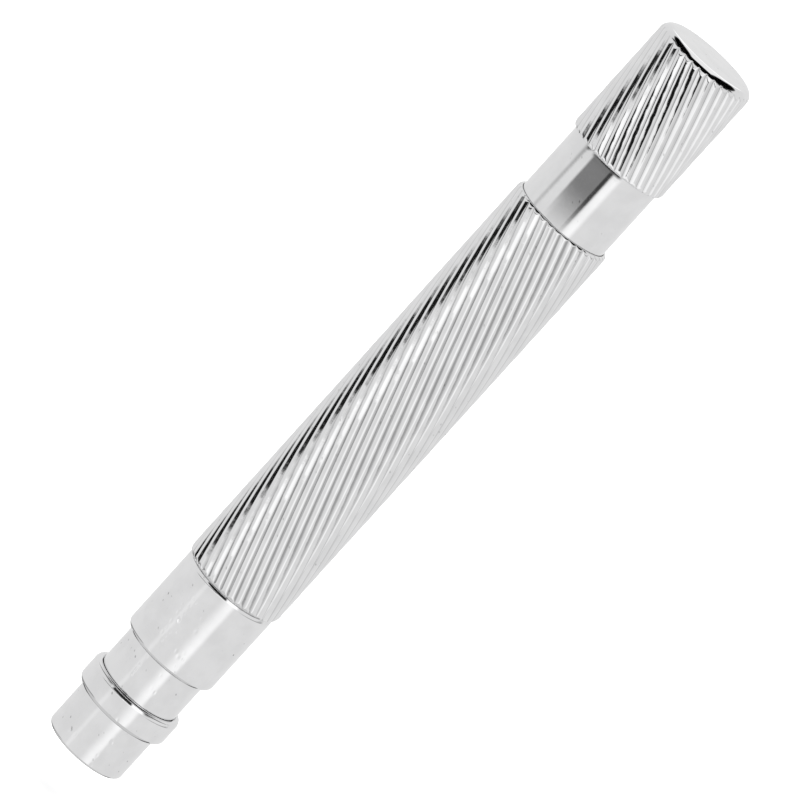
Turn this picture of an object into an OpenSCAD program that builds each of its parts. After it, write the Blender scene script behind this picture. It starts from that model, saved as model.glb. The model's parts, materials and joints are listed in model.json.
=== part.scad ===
// Push-button clutch lead holder for thick drawing leads, with a twist-off lead pointer in its knob.
// The origin is the centre of the nose end face, and +Z runs along the axis to the knob.

/* [Lengths along the axis] */
// Length of the plain nose sleeve
nose_len = 5.8; // [5.6:0.05:6.4]
// Length of the ring behind the nose sleeve
ring_len = 3.15; // [2.9:0.05:3.4]
// Length of the neck between the ring and the collar
neck_len = 4.9; // [4.7:0.05:5.4]
// Length of the collar in front of the grip
collar_len = 10.5; // [10:0.1:12]
// Length of the fluted grip
grip_len = 52.8; // [50:0.2:60]
// Length of the smooth band that shows between the grip and the knob
band_len = 8.5; // [7.5:0.1:10]
// Length of the knob with its crown
knob_len = 14.55; // [14:0.05:16]

/* [Outside diameters] */
// Diameter of the nose sleeve
nose_d = 9.75; // [9.7:0.05:10]
// Diameter of the ring behind the nose sleeve
ring_d = 11.4; // [11:0.1:12]
// Diameter of the neck
neck_d = 9.9; // [9.85:0.05:10.2]
// Diameter of the collar
collar_d = 11.4; // [11.2:0.1:12]
// Diameter of the grip over its ribs
grip_d = 12; // [11.95:0.05:12.4]
// Diameter of the smooth band
band_d = 11; // [10.9:0.05:11.05]
// Diameter of the knob over its ribs
knob_d = 11.95; // [11.9:0.05:12.4]

/* [Fluting] */
// Number of flutes round the grip and the knob
flute_count = 36; // [30:2:44]
// Depth of the grooves between the ribs
flute_depth = 0.2; // [0.12:0.01:0.21]
// Length along the axis in which a left-hand flute goes once round
flute_lead = 108; // [90:1:160]
// Angle of the first groove at the front of the grip's ribs
grip_phase = 3.5; // [0:0.1:10]
// Angle of the first groove at the front of the knob's ribs
knob_phase = 4.6; // [0:0.1:10]

/* [Lead and clutch] */
// Diameter of the lead
lead_d = 5.6; // [5.5:0.05:5.65]
// Length over which the jaws hold the lead
grip_bore_len = 4; // [3.5:0.1:4.5]
// Half angle of the closing cone
cone_angle = 15; // [14:0.5:16]
// Angle left free between two jaws
jaw_slot_angle = 10; // [8:1:14]
// How far the knob pushes the clutch forward
push_travel = 4.5; // [3:0.1:4.5]

/* [Return spring] */
// Diameter of the spring wire
wire_d = 0.8; // [0.6:0.05:0.85]
// Mean diameter of the coils
coil_d = 8.9; // [8.8:0.05:8.95]
// Number of working coils
working_coils = 9; // [7:1:10]

/* [Fits] */
// Radial gap of a part that slides
slide_gap = 0.05; // [0.03:0.01:0.06]
// Radial gap of a part that is screwed, pressed or glued in
seat_gap = 0.02; // [0.01:0.005:0.03]

/* [Hidden] */
$fn = 96;

chrome = [0.86, 0.87, 0.88];
brass = [0.80, 0.66, 0.36];
steel = [0.62, 0.63, 0.65];
rubber = [0.10, 0.10, 0.11];

// Stations along the axis
ring_z = nose_len;
neck_z = ring_z + ring_len;
collar_z = neck_z + neck_len;
grip_z = collar_z + collar_len;
band_z = grip_z + grip_len;
knob_z = band_z + band_len;
end_z = knob_z + knob_len;

// Lead channel
lead_r = lead_d / 2;
channel_r = lead_r + 0.3;

// Clutch jaws, in the clamped position
jaw_count = 3;
jaw_z = 0.3;
jaw_lead_in = 0.3;
head_r = 4.25;
front_shank_r = 3.55;
rear_shank_r = 3.65;
cone_slope = tan(cone_angle);
head_len = (head_r - front_shank_r) / cone_slope;
shank_step_z = 7.6;
carrier_z = collar_z + 5.05;
lip_len = 0.5;
jaw_root_len = 0.84;
jaw_root_r = 4.02;
root_play = 0.08;
jaw_end_z = carrier_z + lip_len + root_play + jaw_root_len;
spreader_z = 10;
spreader_r = 3.22;
spreader_wire_r = 0.15;

// Closing cone in the nose
seat_gap_cone = 0.03;
seat_len = 1.7;
relief_z = 2;
relief_r = 4;
thread_neck_r = 4.4;
thread_neck_bore_r = 3.95;
thread_neck_len = 3.55;
neck_recess_len = 0.4;
neck_recess_gap = 0.18;

// Carrier and stem
carrier_r = 4.45;
carrier_bore_r = 3.98;
carrier_len = 4.5;
stem_z = jaw_end_z + root_play;
stem_thread_r = carrier_bore_r - seat_gap;
stem_flange_len = 0.85;
stem_tube_r = 3.6;
spigot_r = 3.42;
spigot_len = 4;

// Front housing and its bushes
guide_r = carrier_r + slide_gap;
guide_z = collar_z + 0.25;
bush_r = 5.1;
seat_z = grip_z + 6.15;
housing_end_z = seat_z + 3.5;
sleeve_bore_r = band_d / 2 + slide_gap + 0.01;
liner_r = sleeve_bore_r - 0.03;
flange_len = 0.5;

// Lead tube, spring and collar
tube_r = 3.75;
tube_bore_r = tube_r + slide_gap;
tube_z = seat_z - 0.7;
tube_end_z = knob_z - 5.15;
spring_z = housing_end_z + flange_len;
spring_len = 21.5;
collar_seat_z = spring_z + spring_len;
spring_collar_len = 2.5;
spring_collar_r = 4.95;
circlip_len = 0.55;
circlip_groove_r = 3.45;

// Liner and rear guide
liner_z = spring_z + 0.1;
rear_guide_len = 4;
rear_flange_len = 1;
button_z = band_z - 4.95;
liner_end_z = button_z - push_travel - 0.5 - rear_flange_len;

// Knob
button_bore_r = 5;
joint_gap = 0.03;
core_z = knob_z - 6.05;
core_body_r = 5.27;
core_thread_r = button_bore_r - slide_gap;
core_bore_r = 4.3;
core_end_z = end_z - 4.8;
shell_end_z = end_z - 1.25;
shell_bore_r = core_body_r + 0.03;
crown_r = knob_d / 2 - 0.02;
crown_edge = 1.2;
seal_z = knob_z - 0.95;
seal_wire_r = 0.22;
seal_groove = 0.8;
pointer_z = knob_z + 0.55;
pointer_len = 8.4;
pointer_mouth_r = 3.2;
pointer_tip_r = 0.35;
pointer_cone_len = 7.8;
blade_thick = 0.4;
blade_wide = 2.6;
blade_len = 6.1;

// Edges and fluting
nose_edge = 0.32;
ring_low_edge = 0.6;
collar_low_edge = 0.55;
cone_len = 0.45;
cone_in = 0.24;
root_rim = 0.3;
lap = 0.02;

// ---- shared shapes ----

// Half section of a straight tube, for rotate_extrude.
module wall(r_in, r_out, z0, z1) {
  translate([r_in, z0]) square([r_out - r_in, z1 - z0]);
}

// Half section of a cone that narrows from r by cone_in over cone_len, and ends at z1.
module narrowing(r, z1) {
  z0 = z1 - cone_len;
  polygon([[0, z0 - lap], [r, z0 - lap], [r, z0], [r - cone_in, z1], [0, z1]]);
}

// Half section of a tube with rounded outer edges of radius low and high.
module soft_wall(r_in, r_out, z0, z1, low, high) {
  inset = max(low, high);
  wall(r_in, r_out - inset, z0, z1);
  wall(r_out - inset - lap, r_out, z0 + low, z1 - high);
  if (low > 0) translate([r_out - low, z0 + low]) circle(low);
  if (high > 0) translate([r_out - high, z1 - high]) circle(high);
}

module tube(r_in, r_out, z0, z1) {
  rotate_extrude() wall(r_in, r_out, z0, z1);
}

// Outline of the ribs: flat-topped ribs with a narrow groove between each two.
function rib_points(r_top, r_root) = [
  for (i = [0 : flute_count - 1])
    for (p = [[0, r_root], [0.3, r_top], [0.7, r_top]])
      let (a = 360 * (i + p[0]) / flute_count) p[1] * [cos(a), sin(a)]
];

// Tube with left-hand flutes, the first groove at angle phase. Plain rims of length low and high, at the
// groove's depth, finish the ends.
module fluted_tube(r_top, r_in, z0, z1, low, high, steps, phase) {
  r_root = r_top - flute_depth;
  length = z1 - z0 - low - high;
  difference() {
    translate([0, 0, z0 + low]) rotate([0, 0, phase])
      linear_extrude(height = length, twist = 360 * length / flute_lead, slices = steps)
        polygon(rib_points(r_top, r_root));
    translate([0, 0, z0 - 1]) cylinder(r = r_in, h = z1 - z0 + 2);
  }
  if (low > 0) tube(r_in, r_root - lap, z0, z0 + low);
  if (high > 0) tube(r_in, r_root - lap, z1 - high, z1);
}

// Height of the wire's centre after a number of turns: one closed coil at each end.
function coil_height(turn, pitch, closed) =
  let (total = working_coils + 2)
  turn < 1 ? turn * closed
  : turn < total - 1 ? closed + (turn - 1) * pitch
  : closed + working_coils * pitch + (turn - total + 1) * closed;

// Coil spring along Z from z0, made of a six-sided wire swept along the helix.
module coil_spring(z0, length) {
  sides = 6;
  steps = 18;
  total = working_coils + 2;
  closed = wire_d + 0.05;
  pitch = (length - wire_d - 2 * closed) / working_coils;
  count = total * steps;
  points = [
    for (i = [0 : count])
      let (turn = i / steps, a = 360 * turn, z = coil_height(turn, pitch, closed))
      for (j = [0 : sides - 1])
        let (b = 360 * j / sides, r = coil_d / 2 + wire_d / 2 * cos(b))
        [r * cos(a), r * sin(a), z0 + wire_d / 2 + z + wire_d / 2 * sin(b)]
  ];
  sides_of_wire = [
    for (i = [0 : count - 1])
      for (j = [0 : sides - 1])
        let (k = (j + 1) % sides, m = i * sides)
        [m + j, m + sides + j, m + sides + k, m + k]
  ];
  ends = [
    [for (j = [0 : sides - 1]) j],
    [for (j = [0 : sides - 1]) count * sides + sides - 1 - j]
  ];
  polyhedron(points, concat(sides_of_wire, ends));
}

// ---- fixed front and barrel ----

// Nose sleeve and ring in one turned piece, with the closing cone inside and a thread neck behind.
module nose_cap() {
  cone_r = head_r + seat_gap_cone;
  color(chrome) rotate_extrude() difference() {
    union() {
      soft_wall(0, nose_d / 2, 0, ring_z + lap, nose_edge, 0);
      soft_wall(0, ring_d / 2, ring_z, neck_z - cone_len, ring_low_edge, 0);
      narrowing(ring_d / 2, neck_z);
      wall(0, thread_neck_r, neck_z - lap, neck_z + thread_neck_len);
    }
    polygon([
      [0, -1],
      [cone_r + cone_slope * (jaw_z + 1), -1],
      [cone_r - cone_slope * (seat_len - jaw_z), seat_len],
      [relief_r, relief_z],
      [relief_r, neck_z],
      [thread_neck_bore_r, neck_z + 0.1],
      [thread_neck_bore_r, neck_z + thread_neck_len + 1],
      [0, neck_z + thread_neck_len + 1]
    ]);
    wall(thread_neck_r, neck_d / 2 + neck_recess_gap, neck_z - neck_recess_len, neck_z + 1);
  }
}

// Neck, collar and the long rear spigot that carries the grip sleeve.
module front_housing() {
  color(chrome) rotate_extrude() difference() {
    union() {
      wall(0, neck_d / 2, neck_z - neck_recess_len, collar_z + lap);
      soft_wall(0, collar_d / 2, collar_z, grip_z - cone_len, collar_low_edge, 0);
      narrowing(collar_d / 2, grip_z);
      wall(0, liner_r, grip_z - lap, housing_end_z);
    }
    wall(-1, thread_neck_r + seat_gap, neck_z - 1, guide_z + lap);
    wall(-1, bush_r + seat_gap, guide_z, housing_end_z + 1);
  }
}

module grip_sleeve() {
  color(chrome)
    fluted_tube(grip_d / 2, sleeve_bore_r, grip_z, band_z, root_rim, root_rim, 14, grip_phase);
}

// Long brass bush in which the clutch slides.
module front_guide_bush() {
  color(brass) tube(guide_r, bush_r, guide_z, seat_z);
}

// Bush that guides the lead tube. The return spring stands on its flange.
module spring_seat_bush() {
  color(brass) rotate_extrude() {
    wall(tube_bore_r, bush_r, seat_z, spring_z);
    wall(bush_r - lap, liner_r, housing_end_z, spring_z);
  }
}

// Tube inside the grip sleeve, round the return spring.
module inner_liner() {
  color(brass) tube(bush_r - 0.05, liner_r, liner_z, liner_end_z);
}

// Bush at the back of the liner that guides the lead tube.
module rear_guide_bush() {
  color(brass) rotate_extrude() {
    wall(tube_bore_r, bush_r - 0.07, liner_end_z - rear_guide_len, liner_end_z + rear_flange_len);
    wall(bush_r - 0.09, liner_r, liner_end_z, liner_end_z + rear_flange_len);
  }
}

// ---- clutch ----

// One jaw: cone head, long shank, groove for the spreader ring and a root flange.
module clutch_jaw(index) {
  bore_end = jaw_z + jaw_lead_in + grip_bore_len;
  root_z = jaw_end_z - jaw_root_len;
  groove = spreader_wire_r + 0.05;
  color(steel)
    rotate([0, 0, 90 + 360 / jaw_count * index - (360 / jaw_count - jaw_slot_angle) / 2])
      rotate_extrude(angle = 360 / jaw_count - jaw_slot_angle) difference() {
        polygon([
          [lead_r + jaw_lead_in, jaw_z],
          [head_r, jaw_z],
          [front_shank_r, jaw_z + head_len],
          [front_shank_r, shank_step_z],
          [rear_shank_r, shank_step_z + 0.6],
          [rear_shank_r, root_z],
          [jaw_root_r, root_z],
          [jaw_root_r, jaw_end_z],
          [channel_r, jaw_end_z],
          [channel_r, bore_end + 0.2],
          [lead_r, bore_end],
          [lead_r, jaw_z + jaw_lead_in]
        ]);
        wall(channel_r - 1, spreader_r + groove, spreader_z - groove, spreader_z + groove);
      }
}

module clutch_jaw_1() { clutch_jaw(0); }

module clutch_jaw_2() { clutch_jaw(1); }

module clutch_jaw_3() { clutch_jaw(2); }

// Open wire ring in the jaws' inner groove that spreads them when the cone lets go.
module jaw_spreader_ring() {
  color(steel) rotate_extrude(angle = 300) translate([spreader_r, spreader_z]) circle(spreader_wire_r);
}

// Front collar whose lip holds the jaws by their root flanges.
module jaw_carrier() {
  color(brass) rotate_extrude() difference() {
    soft_wall(0, carrier_r, carrier_z, carrier_z + carrier_len, 0.2, 0.2);
    wall(-1, rear_shank_r + 0.1, carrier_z - 1, carrier_z + lip_len + lap);
    wall(-1, jaw_root_r + root_play, carrier_z + lip_len, stem_z);
    wall(-1, carrier_bore_r, stem_z - lap, carrier_z + carrier_len + 1);
  }
}

// Stem that closes the carrier and joins it to the lead tube.
module clutch_stem() {
  flange_z = carrier_z + carrier_len + joint_gap;
  color(brass) rotate_extrude() {
    wall(channel_r, stem_thread_r, stem_z, flange_z + lap);
    wall(channel_r, carrier_r - 0.05, flange_z, flange_z + stem_flange_len);
    wall(channel_r, stem_tube_r, flange_z, tube_z);
    wall(channel_r, spigot_r, tube_z - lap, tube_z + spigot_len);
  }
}

// Long tube that carries the spare length of the lead and pushes the clutch.
module lead_tube() {
  groove_z = collar_seat_z + spring_collar_len + joint_gap;
  color(brass) rotate_extrude() difference() {
    wall(channel_r, tube_r, tube_z, tube_end_z);
    wall(-1, spigot_r + seat_gap, tube_z - 1, tube_z + spigot_len + 0.2);
    wall(circlip_groove_r, tube_r + 1, groove_z, groove_z + circlip_len + joint_gap);
  }
}

module return_spring() {
  color(steel) coil_spring(spring_z, spring_len);
}

// Collar that the return spring lifts.
module spring_collar() {
  color(brass) tube(tube_r + seat_gap, spring_collar_r, collar_seat_z, collar_seat_z + spring_collar_len);
}

// Open ring that holds the spring collar down on the lead tube.
module collar_circlip() {
  z = collar_seat_z + spring_collar_len + joint_gap;
  color(steel) rotate_extrude(angle = 310)
    wall(circlip_groove_r + seat_gap, spring_collar_r - 0.35, z, z + circlip_len);
}

// ---- push button ----

// Smooth tube that shows as the band and slides into the grip sleeve.
module button_tube() {
  color(chrome) tube(button_bore_r, band_d / 2, button_z, knob_z - joint_gap);
}

// Ring that joins the button tube to the lead tube.
module tube_adapter() {
  color(brass) tube(tube_r + seat_gap, button_bore_r - seat_gap, button_z + 0.3, button_z + 4.8);
}

// Rubber ring that keeps the screwed knob from working loose.
module knob_seal_ring() {
  color(rubber) rotate_extrude()
    translate([button_bore_r - 0.01 - seal_wire_r, seal_z]) circle(seal_wire_r);
}

// Threaded core that carries the knob's shell, crown and pointer.
module knob_core() {
  groove_r = button_bore_r - 2 * seal_wire_r - 0.02;
  color(brass) rotate_extrude() difference() {
    union() {
      wall(core_bore_r, core_thread_r, core_z, knob_z + lap);
      wall(core_bore_r, core_body_r, knob_z, core_end_z);
    }
    wall(groove_r, button_bore_r, seal_z - seal_groove / 2, seal_z + seal_groove / 2);
  }
}

module knob_shell() {
  color(chrome) fluted_tube(knob_d / 2, shell_bore_r, knob_z, shell_end_z, root_rim, 0, 5, knob_phase);
}

// Smooth end of the knob, with a spigot pressed into the shell.
module knob_crown() {
  color(chrome) rotate_extrude() difference() {
    union() {
      soft_wall(0, crown_r, shell_end_z, end_z, 0, crown_edge);
      wall(0, core_body_r, core_end_z + joint_gap, shell_end_z + lap);
    }
    wall(core_body_r, crown_r + 1, core_end_z, shell_end_z);
    wall(-1, core_body_r - 1, core_end_z, shell_end_z - 0.4);
  }
}

// The two pointer blades, grown by a gap on every side: flat along the cone, one on each side.
module blades(gap) {
  lean = atan((pointer_mouth_r - pointer_tip_r) / pointer_cone_len);
  mid_r = (pointer_mouth_r + pointer_tip_r) / 2;
  for (side = [0, 180])
    rotate([0, 0, side])
      translate([mid_r + blade_thick / 2, 0, pointer_z + pointer_cone_len / 2])
        rotate([0, -lean, 0])
          cube([blade_thick + 2 * gap, blade_wide + 2 * gap, blade_len + 2 * gap], center = true);
}

// Lead pointer in the knob: a conical hole with two blade slots.
module pointer_body() {
  color(brass) difference() {
    translate([0, 0, pointer_z]) cylinder(r = core_bore_r - seat_gap, h = pointer_len);
    translate([0, 0, pointer_z - lap])
      cylinder(r1 = pointer_mouth_r, r2 = pointer_tip_r, h = pointer_cone_len);
    blades(seat_gap);
  }
}

module pointer_blades() {
  color(steel) blades(0);
}

nose_cap();
front_housing();
grip_sleeve();
front_guide_bush();
spring_seat_bush();
inner_liner();
rear_guide_bush();
clutch_jaw_1();
clutch_jaw_2();
clutch_jaw_3();
jaw_spreader_ring();
jaw_carrier();
clutch_stem();
lead_tube();
return_spring();
spring_collar();
collar_circlip();
button_tube();
tube_adapter();
knob_seal_ring();
knob_core();
knob_shell();
knob_crown();
pointer_body();
pointer_blades();
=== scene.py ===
import json
import math
import random
from collections import namedtuple

import bmesh
import bpy
import numpy as np
from mathutils import Matrix, Vector


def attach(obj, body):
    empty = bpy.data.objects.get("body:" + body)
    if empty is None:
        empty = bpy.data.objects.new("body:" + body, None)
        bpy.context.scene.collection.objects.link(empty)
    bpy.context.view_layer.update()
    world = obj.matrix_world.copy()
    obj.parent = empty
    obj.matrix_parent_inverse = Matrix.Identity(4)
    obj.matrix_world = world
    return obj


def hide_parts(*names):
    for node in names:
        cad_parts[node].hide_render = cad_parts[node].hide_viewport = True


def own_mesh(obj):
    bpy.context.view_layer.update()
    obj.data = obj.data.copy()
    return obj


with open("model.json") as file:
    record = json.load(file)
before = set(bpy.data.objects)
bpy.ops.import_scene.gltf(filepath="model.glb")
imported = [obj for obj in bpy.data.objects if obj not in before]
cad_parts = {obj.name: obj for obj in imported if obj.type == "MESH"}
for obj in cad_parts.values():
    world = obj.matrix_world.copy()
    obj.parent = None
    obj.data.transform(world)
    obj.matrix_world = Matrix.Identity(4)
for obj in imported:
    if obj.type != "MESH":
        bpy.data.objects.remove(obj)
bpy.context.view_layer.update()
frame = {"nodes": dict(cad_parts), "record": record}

# Lengths are in millimetres and angles in degrees. A mesh is turned into metres when it is made.
# +Z runs along the axis from the nose to the knob. Azimuth 0 faces -Y, and 90 faces +X.
MM = 0.001
SHARP_ANGLE = 32

# Stations along the axis
RING_Z = 5.8
NECK_Z = 8.95
COLLAR_Z = 13.85
GRIP_Z = 24.35
BAND_Z = 77.15
KNOB_Z = 85.65
END_Z = 100.2

# Outside radii
NOSE_R = 4.875
RING_R = 5.7
NECK_R = 4.95
COLLAR_R = 5.7
GRIP_R = 6
BAND_R = 5.5
KNOB_R = 5.975

# Fluting: the lead is the height of one full turn, and a phase is the azimuth of a groove at the foot
RIBS = 36
RIB_DEPTH = 0.2
FLUTE_LEAD = 108
GRIP_PHASE = 4.5
KNOB_PHASE = 5.6

# The rounding of the knob's rim, and how far below its end the ribs stop
RIM_ROUNDING = 1.2
RIM_CUT = 0.55

# Row spacing on the pitted runs and on the edges above them, and columns of the pitted pieces
PIT_ROW = 0.13
EDGE_ROW = 0.11
PIT_COLUMNS = 420


# ---- meshes ----


def fillet(before, corner, after, radius):
    """Points of the arc that rounds one corner of an outline."""
    a = (before - corner).normalized()
    b = (after - corner).normalized()
    half = a.angle(b) / 2
    centre = corner + (a + b).normalized() * radius / math.sin(half)
    first = corner + a * radius / math.tan(half) - centre
    last = corner + b * radius / math.tan(half) - centre
    turn = math.atan2(first.x * last.y - first.y * last.x, first.dot(last))
    count = max(3, round(abs(math.degrees(turn)) / 7))
    steps = [turn * i / count for i in range(count + 1)]
    return [centre + Matrix.Rotation(step, 2) @ first for step in steps]


def outline(corners):
    """Rows of (radius, z) round a closed half section.

    A corner is (radius, z, rounding, step), and step is the spacing of rows on the run that follows, or 0.
    """
    spots = [Vector(corner[:2]) for corner in corners]
    runs = []
    for i, (_, _, rounding, _) in enumerate(corners):
        if rounding > 0:
            runs.append(fillet(spots[i - 1], spots[i], spots[(i + 1) % len(spots)], rounding))
        else:
            runs.append([spots[i]])
    rows = []
    for i, run in enumerate(runs):
        rows.extend(run)
        step = corners[i][3]
        if step > 0:
            start = run[-1]
            end = runs[(i + 1) % len(runs)][0]
            count = max(1, round((end - start).length / step))
            rows.extend(start.lerp(end, k / count) for k in range(1, count))
    return np.array([(row.x, row.y) for row in rows])


def around(radius, azimuth, z):
    """Grid of points from radius, azimuth in radians and z, which share one shape when broadcast."""
    radius, azimuth, z = np.broadcast_arrays(radius, azimuth, z)
    return np.stack([radius * np.sin(azimuth), -radius * np.cos(azimuth), z], -1)


def lathe(corners, columns, drop=None):
    """Grid of a turned piece. drop(azimuth, radius, z) gives how far the surface is sunk."""
    rows = outline(corners)
    radius = rows[:, :1]
    z = rows[:, 1:]
    azimuth = np.arange(columns)[None, :] * 2 * math.pi / columns
    if drop is not None:
        radius = radius - drop(azimuth, radius, z)
    return around(radius, azimuth, z)


def grid_mesh(name, grid, closed=True):
    """Mesh from a grid of points in mm. Columns go round, and the rows close up too unless told otherwise."""
    rows, columns = grid.shape[:2]
    index = np.arange(rows * columns).reshape(rows, columns)
    here = index if closed else index[:-1]
    above = np.roll(index, -1, axis=0) if closed else index[1:]
    faces = np.stack([here, np.roll(here, -1, axis=1), np.roll(above, -1, axis=1), above], -1)
    mesh = bpy.data.meshes.new(name)
    mesh.from_pydata((grid.reshape(-1, 3) * MM).tolist(), [], faces.reshape(-1, 4).tolist())
    shape = bmesh.new()
    shape.from_mesh(mesh)
    bmesh.ops.remove_doubles(shape, verts=shape.verts, dist=1e-8)
    bmesh.ops.recalc_face_normals(shape, faces=shape.faces)
    shape.to_mesh(mesh)
    shape.free()
    mesh.shade_smooth()
    mesh.set_sharp_from_angle(angle=math.radians(SHARP_ANGLE))
    return mesh


def add_piece(name, mesh, body, stands_for, slot, finish=None):
    """Puts a mesh in the scene in place of a CAD node, with its material slot's finish or its own."""
    thing = bpy.data.objects.new(name, mesh)
    bpy.context.scene.collection.objects.link(thing)
    thing.data.materials.append(finish or FINISH[slot])
    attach(thing, body)
    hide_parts(stands_for)
    return thing


def pits(patches, seed):
    """Field of small slanted pits. A patch is (azimuth, z, spread, count)."""
    rng = random.Random(seed)
    lean = math.radians(35)
    stretch = 1.9
    pitted_from = NOSE_R - 0.5
    found = []
    for azimuth, height, spread, count in patches:
        for _ in range(count):
            centre = math.radians(azimuth) + rng.gauss(0, spread) / COLLAR_R
            size = rng.uniform(0.08, 0.13)
            found.append((centre, height + rng.gauss(0, spread), size, rng.uniform(0.01, 0.035)))

    def drop(azimuth, radius, z):
        total = np.zeros(np.broadcast(azimuth, z).shape)
        for centre, height, size, depth in found:
            across = (np.mod(azimuth - centre + math.pi, 2 * math.pi) - math.pi) * radius
            along = z - height
            long_way = across * math.sin(lean) - along * math.cos(lean)
            short_way = across * math.cos(lean) + along * math.sin(lean)
            total += depth * np.exp(-((short_way / size) ** 2) - (long_way / size / stretch) ** 2)
        return np.where(radius > pitted_from, total, 0)

    return drop


def flutes(r_top, r_bore, z0, z1, low, high, phase, rows, seed):
    """Grid of a tube with left-hand ribs, a groove at azimuth phase at its foot.

    low and high are the (length, depth, cut) of the rounding at each end. The tube stops cut short of where
    its rounding would end, and another piece carries the rounding on.
    """
    rng = np.random.default_rng(seed)
    per_rib = 10
    bore_rows = 26
    end_rows = 9
    shares = np.linspace(0, 1, end_rows, endpoint=False)
    low_end = low[0] - low[2]
    high_end = high[0] - high[2]
    z = np.concatenate([
        z0 + low_end * shares**1.5,
        np.linspace(z0 + low_end, z1 - high_end, rows),
        (z1 - high_end * shares**1.5)[::-1],
    ])[:, None]
    column = np.arange(RIBS * per_rib)
    rib = column // per_rib
    across = (column % per_rib) / per_rib - 0.5
    pitch = 2 * math.pi * r_top / RIBS
    arc = pitch**2 / (8 * RIB_DEPTH) + RIB_DEPTH / 2
    sag = arc - np.sqrt(arc**2 - (across * pitch) ** 2)

    # Rolled ribs are never quite alike: each has its own height and a slow waviness along it.
    height = rng.normal(0, 0.004, RIBS)[rib]
    wave = 0
    for length, size in ((7.3, 0.003), (2.9, 0.0022), (1.3, 0.0016)):
        start = rng.uniform(0, 2 * math.pi, RIBS)[rib]
        wave = wave + size * np.sin(2 * math.pi * z / length + start)
    crest = 1 - np.abs(across * 2) ** 4
    radius = r_top - sag + (height + wave) * crest

    low_share = np.clip((z - z0 + low[2]) / low[0], 0, 1)
    high_share = np.clip((z1 - z + high[2]) / high[0], 0, 1)
    limit = r_top + 0.01 - low[1] * (1 - np.sqrt(1 - (1 - low_share) ** 2))
    limit = limit - high[1] * (1 - np.sqrt(1 - (1 - high_share) ** 2))
    radius = np.minimum(radius, limit)

    bore_z = np.linspace(z1, z0, bore_rows)[:, None]
    z = np.concatenate([z, bore_z])
    radius = np.concatenate([radius, np.full((bore_rows, len(column)), r_bore)])
    azimuth = math.radians(phase) + 2 * math.pi * (column / len(column) - (z - z0) / FLUTE_LEAD)
    return around(radius, azimuth, z)


def wire_grid(coil_r, wire_r, z0, length, working):
    """Grid of a coil spring of round wire with one closed coil at each end."""
    sides = 14
    per_turn = 44
    closed = 2 * wire_r + 0.05
    pitch = (length - 2 * wire_r - 2 * closed) / working
    turn = np.arange((working + 2) * per_turn + 1)[:, None] / per_turn
    rise = closed * np.clip(turn, 0, 1)
    rise = rise + pitch * np.clip(turn - 1, 0, working)
    rise = rise + closed * np.clip(turn - 1 - working, 0, 1)
    ring = np.arange(sides)[None, :] * 2 * math.pi / sides
    radius = coil_r + wire_r * np.cos(ring)
    return around(radius, math.pi / 2 + turn * 2 * math.pi, z0 + wire_r + rise + wire_r * np.sin(ring))


# ---- materials ----


SPECK_TONE = (0.05, 0.05, 0.05)
# Painted shade and dirt: the next two give the darker tone painted into the groove bottoms, and how far it
# goes.
GROOVE_SHADE_AND_DIRT_TONE = (0.18, 0.18, 0.18)
GROOVE_SHADE_AND_DIRT = 0.22


def new_tree(name):
    material = bpy.data.materials.new(name)
    material.use_nodes = True
    material.node_tree.nodes.clear()
    return material, material.node_tree


def add(tree, kind, inputs=None, **settings):
    """Adds a shader node. An input is a value, or a socket to link from."""
    node = tree.nodes.new(kind)
    for key, value in settings.items():
        setattr(node, key, value)
    for key, value in (inputs or {}).items():
        if isinstance(value, bpy.types.NodeSocket):
            tree.links.new(value, node.inputs[key])
        else:
            node.inputs[key].default_value = value
    return node


def calc(tree, operation, *values):
    inputs = dict(enumerate(values))
    return add(tree, "ShaderNodeMath", inputs, operation=operation).outputs[0]


def ramp(tree, value, low, high, start=0.0, end=1.0, smooth=True):
    """Value turned from the span low..high into start..end and clamped."""
    inputs = {"Value": value, "From Min": low, "From Max": high, "To Min": start, "To Max": end}
    kind = "SMOOTHSTEP" if smooth else "LINEAR"
    return add(tree, "ShaderNodeMapRange", inputs, interpolation_type=kind).outputs[0]


def mix_colour(tree, share, first, second):
    node = add(tree, "ShaderNodeMix", data_type="RGBA")
    for key, value in ((0, share), (6, first), (7, second)):
        if isinstance(value, bpy.types.NodeSocket):
            tree.links.new(value, node.inputs[key])
        elif key == 0:
            node.inputs[key].default_value = value
        else:
            node.inputs[key].default_value = (*value, 1)
    return node.outputs[2]


def noise(tree, place, scale, detail):
    inputs = {"Vector": place, "Scale": scale, "Detail": detail}
    return add(tree, "ShaderNodeTexNoise", inputs).outputs["Fac"]


def groove_share(tree, place, phase, z0):
    """1 in the bottom of the grooves between ribs and 0 on the ribs, with the first groove at phase at z0."""
    axes = add(tree, "ShaderNodeSeparateXYZ", {0: place}).outputs
    azimuth = calc(tree, "DEGREES", calc(tree, "ARCTAN2", axes["X"], calc(tree, "MULTIPLY", axes["Y"], -1)))
    turned = calc(tree, "MULTIPLY", calc(tree, "SUBTRACT", axes["Z"], z0), 360 / FLUTE_LEAD)
    along = calc(tree, "SUBTRACT", calc(tree, "ADD", azimuth, turned), phase)
    off_groove = calc(tree, "PINGPONG", calc(tree, "MULTIPLY", along, RIBS / 360), 0.5)
    return ramp(tree, off_groove, 0.03, 0.17, 1, 0)


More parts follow.
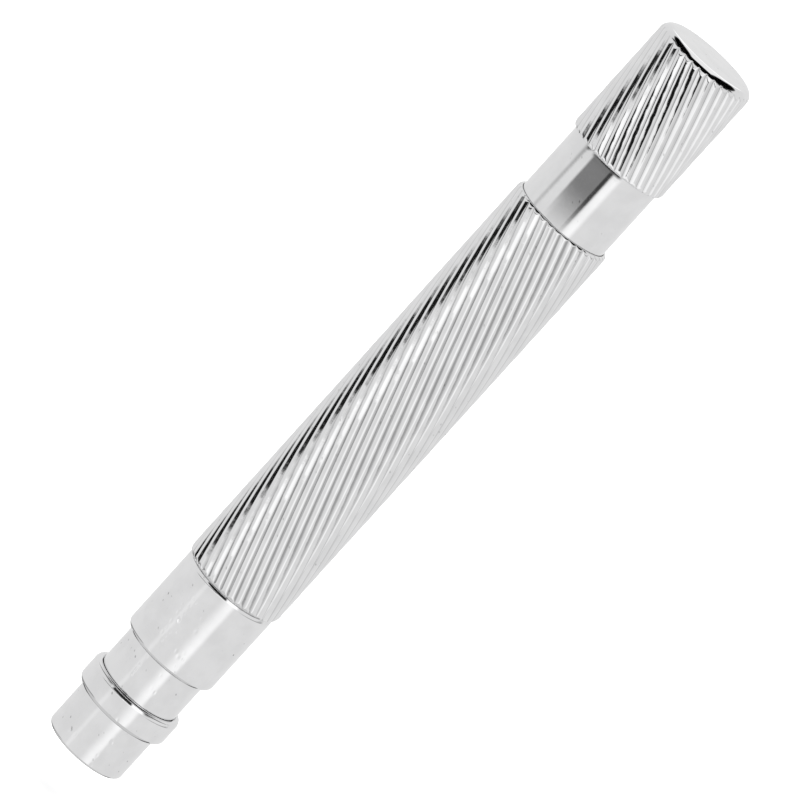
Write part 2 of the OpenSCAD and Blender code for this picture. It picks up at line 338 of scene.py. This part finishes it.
def metal(name, bright, dull, rough, peel, speck, turned=0, groove=None):
    """Metal with cloudy tone, uneven polish, dark specks, a micro relief and turning marks.

    rough is (least, most) roughness. peel and turned are relief heights in mm. speck is how dark specks are.
    groove is the (phase, z0) of the flutes, when the piece has them, and painted shade and dirt darken their
    bottoms.
    """
    material, tree = new_tree(name)
    spot = add(tree, "ShaderNodeTexCoord").outputs["Object"]
    place = add(tree, "ShaderNodeVectorMath", {0: spot, "Scale": 1 / MM}, operation="SCALE").outputs[0]
    cloud = noise(tree, place, scale=0.45, detail=3)
    fine = noise(tree, place, scale=2.6, detail=2)
    lean = {"Vector": place, "Rotation": (0, math.radians(-35), 0), "Scale": (0.5, 0.8, 1.1)}
    leaning = add(tree, "ShaderNodeMapping", lean, vector_type="TEXTURE").outputs[0]
    cells = add(tree, "ShaderNodeTexVoronoi", {"Vector": leaning, "Scale": 0.8}).outputs["Distance"]
    dots = calc(tree, "MULTIPLY", ramp(tree, cells, 0.06, 0.17, 1, 0), ramp(tree, cloud, 0.5, 0.6))
    tone = mix_colour(tree, ramp(tree, cloud, 0.3, 0.7), bright, dull)
    spotted = mix_colour(tree, calc(tree, "MULTIPLY", dots, speck), tone, SPECK_TONE)
    if groove is not None:
        # Painted shade and dirt: the colour is darkened in the groove bottoms.
        shade_and_dirt = calc(tree, "MULTIPLY", groove_share(tree, place, *groove), GROOVE_SHADE_AND_DIRT)
        spotted = mix_colour(tree, shade_and_dirt, spotted, GROOVE_SHADE_AND_DIRT_TONE)
    polish = ramp(tree, fine, 0.3, 0.7, rough[0], rough[1])
    relief = calc(tree, "MULTIPLY", fine, peel * MM)
    if turned > 0:
        height = add(tree, "ShaderNodeSeparateXYZ", {0: place}).outputs["Z"]
        marks = add(tree, "ShaderNodeTexNoise", {"W": height, "Scale": 9.0}, noise_dimensions="1D")
        relief = calc(tree, "ADD", relief, calc(tree, "MULTIPLY", marks.outputs["Fac"], turned * MM))
    bump = add(tree, "ShaderNodeBump", {"Height": relief, "Strength": 1.0, "Distance": 1.0})
    surface = {"Base Color": spotted, "Metallic": 1.0, "Roughness": polish, "Normal": bump.outputs[0]}
    shader = add(tree, "ShaderNodeBsdfPrincipled", surface)
    add(tree, "ShaderNodeOutputMaterial", {"Surface": shader.outputs[0]})
    return material


def rubber(name):
    material, tree = new_tree(name)
    spot = add(tree, "ShaderNodeTexCoord").outputs["Object"]
    place = add(tree, "ShaderNodeVectorMath", {0: spot, "Scale": 1 / MM}, operation="SCALE").outputs[0]
    dust = noise(tree, place, scale=3, detail=4)
    tone = mix_colour(tree, ramp(tree, dust, 0.4, 0.75), (0.012, 0.012, 0.013), (0.05, 0.05, 0.052))
    bump = add(tree, "ShaderNodeBump", {"Height": calc(tree, "MULTIPLY", dust, 0.004 * MM), "Distance": 1.0})
    polish = ramp(tree, dust, 0.3, 0.7, 0.45, 0.7)
    surface = {"Base Color": tone, "Roughness": polish, "Normal": bump.outputs[0]}
    shader = add(tree, "ShaderNodeBsdfPrincipled", surface)
    add(tree, "ShaderNodeOutputMaterial", {"Surface": shader.outputs[0]})
    return material


CHROME = {"bright": (0.82, 0.82, 0.825), "dull": (0.77, 0.77, 0.775), "rough": (0.035, 0.08)}
FINISH = {
    "chrome_plate": metal("chrome", **CHROME, peel=0.0012, speck=0.5),
    "brass": metal(
        "turned_brass",
        bright=(0.80, 0.60, 0.29),
        dull=(0.62, 0.43, 0.19),
        rough=(0.16, 0.32),
        peel=0.002,
        speck=0.5,
        turned=0.003,
    ),
    "spring_steel": metal(
        "satin_steel",
        bright=(0.50, 0.51, 0.53),
        dull=(0.36, 0.37, 0.40),
        rough=(0.18, 0.36),
        peel=0.002,
        speck=0.6,
        turned=0.002,
    ),
    "seal_rubber": rubber("matt_rubber"),
}
# The grip and knob get painted shade and dirt in the bottoms of their grooves.
GRIP_CHROME = metal("grip_chrome", **CHROME, peel=0.0022, speck=0.3, groove=(GRIP_PHASE, GRIP_Z))
KNOB_CHROME = metal("knob_chrome", **CHROME, peel=0.0022, speck=0.3, groove=(KNOB_PHASE, KNOB_Z))


# ---- outer pieces ----


def nose_and_ring():
    """Nose sleeve and ring, with the closing cone in the mouth and the thread neck behind."""
    mouth_r = 4.36
    cone_r, cone_z = 3.905, 1.7
    relief_r, relief_z = 4, 2
    bore_r = 3.95
    thread_r = 4.4
    thread_z = NECK_Z + 3.55
    recess_r = NECK_R + 0.1
    recess_z = NECK_Z - 0.4
    corners = [
        (mouth_r, 0, 0.08, 0),
        (NOSE_R, 0, 0.32, PIT_ROW),
        (NOSE_R, RING_Z, 0, 0),
        (RING_R, RING_Z, 0.6, PIT_ROW),
        (RING_R, NECK_Z - 0.45, 0.35, EDGE_ROW),
        (RING_R - 0.14, NECK_Z - 0.13, 0.1, 0),
        (RING_R - 0.38, NECK_Z, 0.05, 0),
        (recess_r, NECK_Z, 0.03, 0),
        (recess_r, recess_z, 0, 0),
        (thread_r, recess_z, 0, 0),
        (thread_r, thread_z, 0, 0),
        (bore_r, thread_z, 0, 0),
        (bore_r, NECK_Z + 0.1, 0, 0),
        (relief_r, NECK_Z, 0, 0),
        (relief_r, relief_z, 0, 0),
        (cone_r, cone_z, 0, 0),
    ]
    patches = [(-22, 1.5, 0.5, 9), (20, 1.2, 0.8, 4), (14, 3.4, 0.9, 4), (-5, 6.6, 0.6, 4), (40, 7.4, 0.8, 3),
               (130, 4, 2, 14), (230, 4, 2, 14)]
    grid = lathe(corners, PIT_COLUMNS, pits(patches, seed=11))
    add_piece("nose_and_ring", grid_mesh("nose_and_ring", grid), "barrel", "nose_cap", "chrome_plate")


def neck_and_collar():
    """Neck, collar and the spigot that carries the grip."""
    foot_z = NECK_Z - 0.4
    thread_r = 4.42
    bore_r, bore_z = 5.12, 14.1
    spigot_r, spigot_z = 5.53, 34
    corners = [
        (thread_r, foot_z, 0, 0),
        (NECK_R, foot_z, 0.05, PIT_ROW),
        (NECK_R, COLLAR_Z, 0, 0),
        (COLLAR_R, COLLAR_Z, 0.55, PIT_ROW),
        (COLLAR_R, GRIP_Z - 0.45, 0.35, EDGE_ROW),
        (COLLAR_R - 0.12, GRIP_Z - 0.13, 0.1, 0),
        (COLLAR_R - 0.3, GRIP_Z, 0, 0),
        (spigot_r, GRIP_Z, 0, 0),
        (spigot_r, spigot_z, 0, 0),
        (bore_r, spigot_z, 0, 0),
        (bore_r, bore_z, 0, 0),
        (thread_r, bore_z, 0, 0),
    ]
    patches = [(-20, 20.5, 1.1, 26), (-12, 17.2, 0.9, 12), (-30, 11.6, 0.8, 14), (-14, 10.8, 0.5, 4),
               (35, 21, 1.3, 14), (22, 11.2, 0.8, 6), (10, 16.4, 0.9, 8), (-55, 22.5, 0.6, 4),
               (120, 18, 2.5, 18), (240, 17, 2.5, 18)]
    grid = lathe(corners, PIT_COLUMNS, pits(patches, seed=23))
    mesh = grid_mesh("neck_and_collar", grid)
    add_piece("neck_and_collar", mesh, "barrel", "front_housing", "chrome_plate")


def fluted_grip():
    """Long ribbed tube, rounded at both ends."""
    bore_r = 5.56
    foot = (0.75, 0.3, 0)
    top = (0.5, 0.3, 0)
    grid = flutes(GRIP_R, bore_r, GRIP_Z, BAND_Z, foot, top, GRIP_PHASE, rows=230, seed=5)
    mesh = grid_mesh("fluted_grip", grid)
    add_piece("fluted_grip", mesh, "barrel", "grip_sleeve", "chrome_plate", GRIP_CHROME)


def band():
    """Smooth tube between the grip and the knob."""
    bore_r = 5
    foot_z = 72.2
    top_z = KNOB_Z - 0.03
    corners = [
        (bore_r, foot_z, 0.1, 0),
        (BAND_R, foot_z, 0.1, 0.4),
        (BAND_R, top_z, 0.05, 0),
        (bore_r, top_z, 0.05, 0),
    ]
    grid = lathe(corners, columns=288)
    add_piece("band_tube", grid_mesh("band_tube", grid), "push_button", "button_tube", "chrome_plate")


def fluted_knob():
    """Ribs that run out into the rounded rim."""
    bore_r = 5.3
    foot = (0.6, 0.25, 0)
    top = (RIM_ROUNDING, RIM_ROUNDING, RIM_CUT)
    grid = flutes(KNOB_R, bore_r, KNOB_Z, END_Z - RIM_CUT, foot, top, KNOB_PHASE, rows=76, seed=9)
    mesh = grid_mesh("fluted_knob", grid)
    add_piece("fluted_knob", mesh, "knob", "knob_shell", "chrome_plate", KNOB_CHROME)


def knob_end_cap():
    """Smooth end that carries the rim's rounding on from the ribs and plugs the knob."""
    arc_steps = 14
    skin = 1.4
    hollow_r = 4.27
    plug_r = 5.27
    plug_z = END_Z - 4.77
    start = math.asin(1 - RIM_CUT / RIM_ROUNDING)
    corners = []
    for i in range(arc_steps + 1):
        angle = start + (math.pi / 2 - start) * i / arc_steps
        radius = KNOB_R - RIM_ROUNDING + RIM_ROUNDING * math.cos(angle)
        corners.append((radius, END_Z - RIM_ROUNDING + RIM_ROUNDING * math.sin(angle), 0, 0))
    corners += [
        (0, END_Z, 0, 0),
        (0, END_Z - skin, 0, 0),
        (hollow_r, END_Z - skin, 0, 0),
        (hollow_r, plug_z, 0, 0),
        (plug_r, plug_z, 0, 0),
        (plug_r, END_Z - RIM_CUT - 0.05, 0, 0),
    ]
    grid = lathe(corners, columns=240)
    add_piece("knob_end_cap", grid_mesh("knob_end_cap", grid), "knob", "knob_crown", "chrome_plate")


def threaded_core():
    """Core of the knob, with its screw thread and the groove for the rubber ring."""
    bore_r = 4.3
    thread_r = 4.95
    groove_r = 4.54
    plug_r = 5.27
    foot_z = KNOB_Z - 6.05
    groove_z = KNOB_Z - 0.95
    half_groove = 0.4
    top_z = END_Z - 4.8
    thread_pitch = 1.5
    thread_depth = 0.33
    fade = 0.3
    corners = [
        (bore_r, foot_z, 0.05, 0),
        (thread_r, foot_z, 0.15, 0.07),
        (thread_r, groove_z - half_groove, 0.05, 0),
        (groove_r, groove_z - half_groove, 0, 0),
        (groove_r, groove_z + half_groove, 0, 0),
        (thread_r, groove_z + half_groove, 0.05, 0),
        (thread_r, KNOB_Z, 0, 0),
        (plug_r, KNOB_Z, 0.05, 0),
        (plug_r, top_z, 0.05, 0),
        (bore_r, top_z, 0, 0),
    ]

    def thread(azimuth, radius, z):
        """Right-hand V thread that fades out at both ends, on the outside only."""
        turn = np.mod(z / thread_pitch - azimuth / (2 * math.pi), 1)
        depth = thread_depth * np.clip(1.35 - 3.2 * np.abs(turn - 0.5), 0, 1)
        run_in = np.clip((z - foot_z - fade) / fade, 0, 1)
        run_out = np.clip((groove_z - 0.75 - z) / fade, 0, 1)
        return np.where(radius > thread_r - 0.25, depth * run_in * run_out, 0)

    grid = lathe(corners, 240, thread)
    add_piece("threaded_core", grid_mesh("threaded_core", grid), "knob", "knob_core", "brass")


def return_spring():
    """Round-wire spring that rides with the push button."""
    coil_r = 4.45
    wire_r = 0.4
    seat_z = 34.5
    length = 21.5
    grid = wire_grid(coil_r, wire_r, seat_z, length, working=9)
    mesh = grid_mesh("coil_spring", grid, closed=False)
    shape = bmesh.new()
    shape.from_mesh(mesh)
    ends = [edge for edge in shape.edges if edge.is_boundary]
    bmesh.ops.holes_fill(shape, edges=ends)
    bmesh.ops.recalc_face_normals(shape, faces=shape.faces)
    shape.to_mesh(mesh)
    shape.free()
    spring = add_piece("coil_spring", mesh, "push_button", "return_spring", "spring_steel")
    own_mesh(spring)


def finish_cad_nodes():
    """Gives every CAD node that stays in view the finish of its material slot."""
    slots = {part["node"]: part["material_slot"] for part in frame["record"]["subparts"]}
    for name, node in frame["nodes"].items():
        node.data.materials.clear()
        node.data.materials.append(FINISH[slots[name]])
        node.data.shade_smooth()
        node.data.set_sharp_from_angle(angle=math.radians(SHARP_ANGLE))


# ---- stage ----

# The tent wall is lit evenly, and darker or brighter fields are laid on it in this order. Azimuth,
# elevation and height are windows, each of which rises over its first two numbers and falls over its last
# two. Azimuth and elevation are the reflected ray's, in degrees. Height is where the ray passes NEAR_RADIUS
# from the axis, in mm, so a field can be kept to the rays from one part of the holder. The slants lift the
# elevation window by so much for each degree of azimuth and mm of height.
WALL_RADIUS = 113
WALL_LOW = -75
WALL_HIGH = 199
WALL_LIGHT = 0.86
NEAR_RADIUS = 30

Field = namedtuple("Field", "azimuth elevation height light slants", defaults=[(0, 0)])

# Height windows, named for the parts that send rays through them. The rays that head steeply down pass
# NEAR_RADIUS well below the place they left, so they have windows of their own.
ALWAYS = (-900, -899, 899, 900)
FROM_GRIP = (-900, -899, 79, 84)
FROM_BAND = (70.5, 77.5, 80, 82)
FROM_KNOB = (79.5, 82, 899, 900)
DOWN_FROM_GRIP = (-900, -899, 62, 72)
DOWN_FROM_KNOB = (61, 67, 899, 900)

# The comments say where each field shows in the photo's view.
FIELDS = [
    # Thin lines along the ribs, left of the grip's middle
    Field((-160, -145, -72, -55), (-38, -32, -25, -20), DOWN_FROM_GRIP, 0.33),
    # Grey lines along the ribs, right of the middle of the grip and the knob
    Field((40, 75, 112, 125), (-10, -5, 4, 12), FROM_GRIP, 0.42),
    Field((40, 75, 112, 125), (-10, -5, 4, 12), FROM_KNOB, 0.74),
    # Light lines along the knob's ribs, in its middle and on its right
    Field((-90, -60, 70, 90), (-50, -46, -26, -18), DOWN_FROM_KNOB, 1.12),
    # Dark ends of the ring's top edge
    Field((-150, -125, -62, -48), (22, 30, 89, 90), FROM_GRIP, 0.03),
    Field((42, 56, 125, 150), (22, 30, 89, 90), FROM_GRIP, 0.03),
    # Dark ends of the black crescent on the knob's rim
    Field((-115, -105, -62, -48), (32, 37, 89, 90), FROM_KNOB, 0.03),
    Field((48, 62, 100, 110), (33, 38, 89, 90), FROM_KNOB, 0.03),
    # White wedge between the knob's flat end and the crescent
    Field((-182, -181, -170, -162), (22, 28, 89, 90), ALWAYS, 1.3),
    Field((162, 170, 181, 182), (22, 28, 89, 90), ALWAYS, 1.3),
    # The two lines along the smooth parts, which also show in the ribs
    Field((-50, -41, -40, -32), ALWAYS, ALWAYS, 0.95),
    Field((0, 28, 30, 42), ALWAYS, ALWAYS, 1.16),
    # Row of bright streaks on the ribs, left of the middle of the grip and the knob
    Field((-40, -25, 30, 42), (-3.5, -1, 4, 6.5), ALWAYS, 1.25, (0.28, 0)),
    # Black streaks near the left edge of the grip and the knob
    Field((-82, -62, -16, -8), (11, 15, 20.8, 25.5), ALWAYS, 0.01, (0.3, -0.05)),
    # Dark patch on the band, and the black line on its right
    Field((-48, -40, 12, 20), (-22, -18, -10, -6), FROM_BAND, 0.24),
    Field((4, 8, 12, 16), (-22, -18, -10, -6), FROM_BAND, 0.06),
    # Black mark on the top edges of the ring and the collar, and the white one on its right
    Field((-48, -40, 10, 16), (20, 23, 35, 38), FROM_GRIP, 0.02),
    Field((12, 18, 40, 50), (12, 18, 89, 90), FROM_GRIP, 1.3),
    # Black lines in the middle of the knob
    Field((-54, -42, 26, 40), (-18.5, -14.5, -5.5, -1.5), FROM_KNOB, 0.01, (0.1, 0)),
]


def window(tree, value, span):
    """1 where value lies inside the span, with soft edges."""
    rise = ramp(tree, value, span[0], span[1])
    fall = ramp(tree, value, span[2], span[3], 1, 0)
    return calc(tree, "MULTIPLY", rise, fall)


def lay_fields(tree, azimuth, elevation, height):
    """Light of the wall after the fields are laid on it."""
    light = WALL_LIGHT
    for field in FIELDS:
        level = calc(tree, "SUBTRACT", elevation, calc(tree, "MULTIPLY", azimuth, field.slants[0]))
        level = calc(tree, "SUBTRACT", level, calc(tree, "MULTIPLY", height, field.slants[1]))
        across = window(tree, azimuth, field.azimuth)
        share = calc(tree, "MULTIPLY", across, window(tree, level, field.elevation))
        if field.height != ALWAYS:
            share = calc(tree, "MULTIPLY", share, window(tree, height, field.height))
        inputs = {"Value": share, "To Min": light, "To Max": field.light}
        light = add(tree, "ShaderNodeMapRange", inputs).outputs[0]
    return light


def tent():
    """Wall of a light tent round the holder. Only the metal sees it, as reflections."""
    material, tree = new_tree("tent_cloth")
    geometry = add(tree, "ShaderNodeNewGeometry").outputs
    ray = add(tree, "ShaderNodeVectorMath", {0: geometry["Incoming"], "Scale": -1.0}, operation="SCALE")
    axes = add(tree, "ShaderNodeSeparateXYZ", {0: ray.outputs[0]}).outputs
    rise = calc(tree, "ARCSINE", axes["Z"])
    azimuth = calc(tree, "ARCTAN2", axes["X"], calc(tree, "MULTIPLY", axes["Y"], -1))
    reach = calc(tree, "MULTIPLY", calc(tree, "TANGENT", rise), WALL_RADIUS - NEAR_RADIUS)
    place = add(tree, "ShaderNodeSeparateXYZ", {0: geometry["Position"]}).outputs["Z"]
    height = calc(tree, "SUBTRACT", calc(tree, "MULTIPLY", place, 1 / MM), reach)
    light = lay_fields(tree, calc(tree, "DEGREES", azimuth), calc(tree, "DEGREES", rise), height)
    glow = add(tree, "ShaderNodeEmission", {"Strength": light})
    add(tree, "ShaderNodeOutputMaterial", {"Surface": glow.outputs[0]})
    material.cycles.emission_sampling = "NONE"

    columns = 96
    azimuths = np.arange(columns)[None, :] * 2 * math.pi / columns
    heights = np.array([[WALL_LOW], [WALL_HIGH]])
    mesh = grid_mesh("tent", around(WALL_RADIUS, azimuths, heights), closed=False)
    mesh.materials.append(material)
    wall = bpy.data.objects.new("tent", mesh)
    bpy.context.scene.collection.objects.link(wall)
    wall.visible_camera = False
    wall.visible_diffuse = False
    wall.visible_transmission = False
    wall.visible_shadow = False


def floor():
    """Pale floor under the reach of the pushed jaws. It can be looked through from below."""
    material, tree = new_tree("pale_floor")
    grain = noise(tree, add(tree, "ShaderNodeTexCoord").outputs["Object"], scale=40, detail=3)
    tone = mix_colour(tree, grain, (0.90, 0.90, 0.90), (0.93, 0.93, 0.93))
    matt = add(tree, "ShaderNodeBsdfDiffuse", {"Color": tone})
    clear = add(tree, "ShaderNodeBsdfTransparent")
    back = add(tree, "ShaderNodeNewGeometry").outputs["Backfacing"]
    both = add(tree, "ShaderNodeMixShader", {0: back, 1: matt.outputs[0], 2: clear.outputs[0]})
    add(tree, "ShaderNodeOutputMaterial", {"Surface": both.outputs[0]})
    half = 4000 * MM
    level = -6 * MM
    mesh = bpy.data.meshes.new("floor")
    corners = [(-half, -half, level), (half, -half, level), (half, half, level), (-half, half, level)]
    mesh.from_pydata(corners, [], [(0, 1, 2, 3)])
    mesh.materials.append(material)
    ground = bpy.data.objects.new("floor", mesh)
    bpy.context.scene.collection.objects.link(ground)
    ground.visible_glossy = False


def studio_light():
    """Even white light all round. The metal sees a softbox in the dark overhead, and a dark floor behind."""
    even_light = 0.88
    dark_floor = 0.12
    softbox_light = 1.3
    world = bpy.data.worlds.new("studio")
    bpy.context.scene.world = world
    world.use_nodes = True
    tree = world.node_tree
    tree.nodes.clear()
    ray = add(tree, "ShaderNodeLightPath").outputs
    direction = add(tree, "ShaderNodeTexCoord").outputs["Generated"]
    axes = add(tree, "ShaderNodeSeparateXYZ", {0: direction}).outputs

    across = window(tree, axes["X"], (-0.32, -0.24, 0.20, 0.28))
    behind = ramp(tree, axes["Y"], -0.12, -0.02)
    softbox = calc(tree, "MULTIPLY", calc(tree, "MULTIPLY", across, behind), softbox_light)
    low = ramp(tree, axes["Z"], -0.6, -0.45, 1, 0)
    low_behind = calc(tree, "MULTIPLY", low, ramp(tree, axes["Y"], 0.3, 0.6))
    surround = ramp(tree, low_behind, 0, 1, even_light, dark_floor, smooth=False)
    inputs = {"Value": ramp(tree, axes["Z"], 0.64, 0.70), "To Min": surround, "To Max": softbox}
    reflected = add(tree, "ShaderNodeMapRange", inputs).outputs[0]

    # The camera sees plain white, and matt surfaces get more light than that.
    plain = calc(tree, "ADD", calc(tree, "MULTIPLY", ray["Is Diffuse Ray"], 1.4), 1.0)
    inputs = {"Value": ray["Is Glossy Ray"], "To Min": plain, "To Max": reflected}
    strength = add(tree, "ShaderNodeMapRange", inputs).outputs[0]
    glow = add(tree, "ShaderNodeBackground", {"Strength": strength})
    add(tree, "ShaderNodeOutputWorld", {"Surface": glow.outputs[0]})


def camera():
    """Camera at the photo's viewing angle: 14 degrees above square-on and turned 42 degrees."""
    distance = 782
    elevation = math.radians(14)
    roll = math.radians(42.16)
    aim = Vector((0, 0, 51.2)) * MM
    away = Vector((0, -math.cos(elevation), math.sin(elevation))) * distance * MM
    data = bpy.data.cameras.new("camera")
    data.lens = 337.5
    data.sensor_width = 36
    data.clip_start = 0.01
    data.clip_end = 30
    thing = bpy.data.objects.new("camera", data)
    bpy.context.scene.collection.objects.link(thing)
    facing = (-away).to_track_quat("-Z", "Y").to_matrix() @ Matrix.Rotation(roll, 3, "Z")
    thing.matrix_world = Matrix.Translation(aim + away) @ facing.to_4x4()
    bpy.context.scene.camera = thing
    bpy.context.scene.view_settings.view_transform = "Standard"


finish_cad_nodes()
nose_and_ring()
neck_and_collar()
fluted_grip()
band()
fluted_knob()
knob_end_cap()
threaded_core()
return_spring()
tent()
floor()
studio_light()
camera()
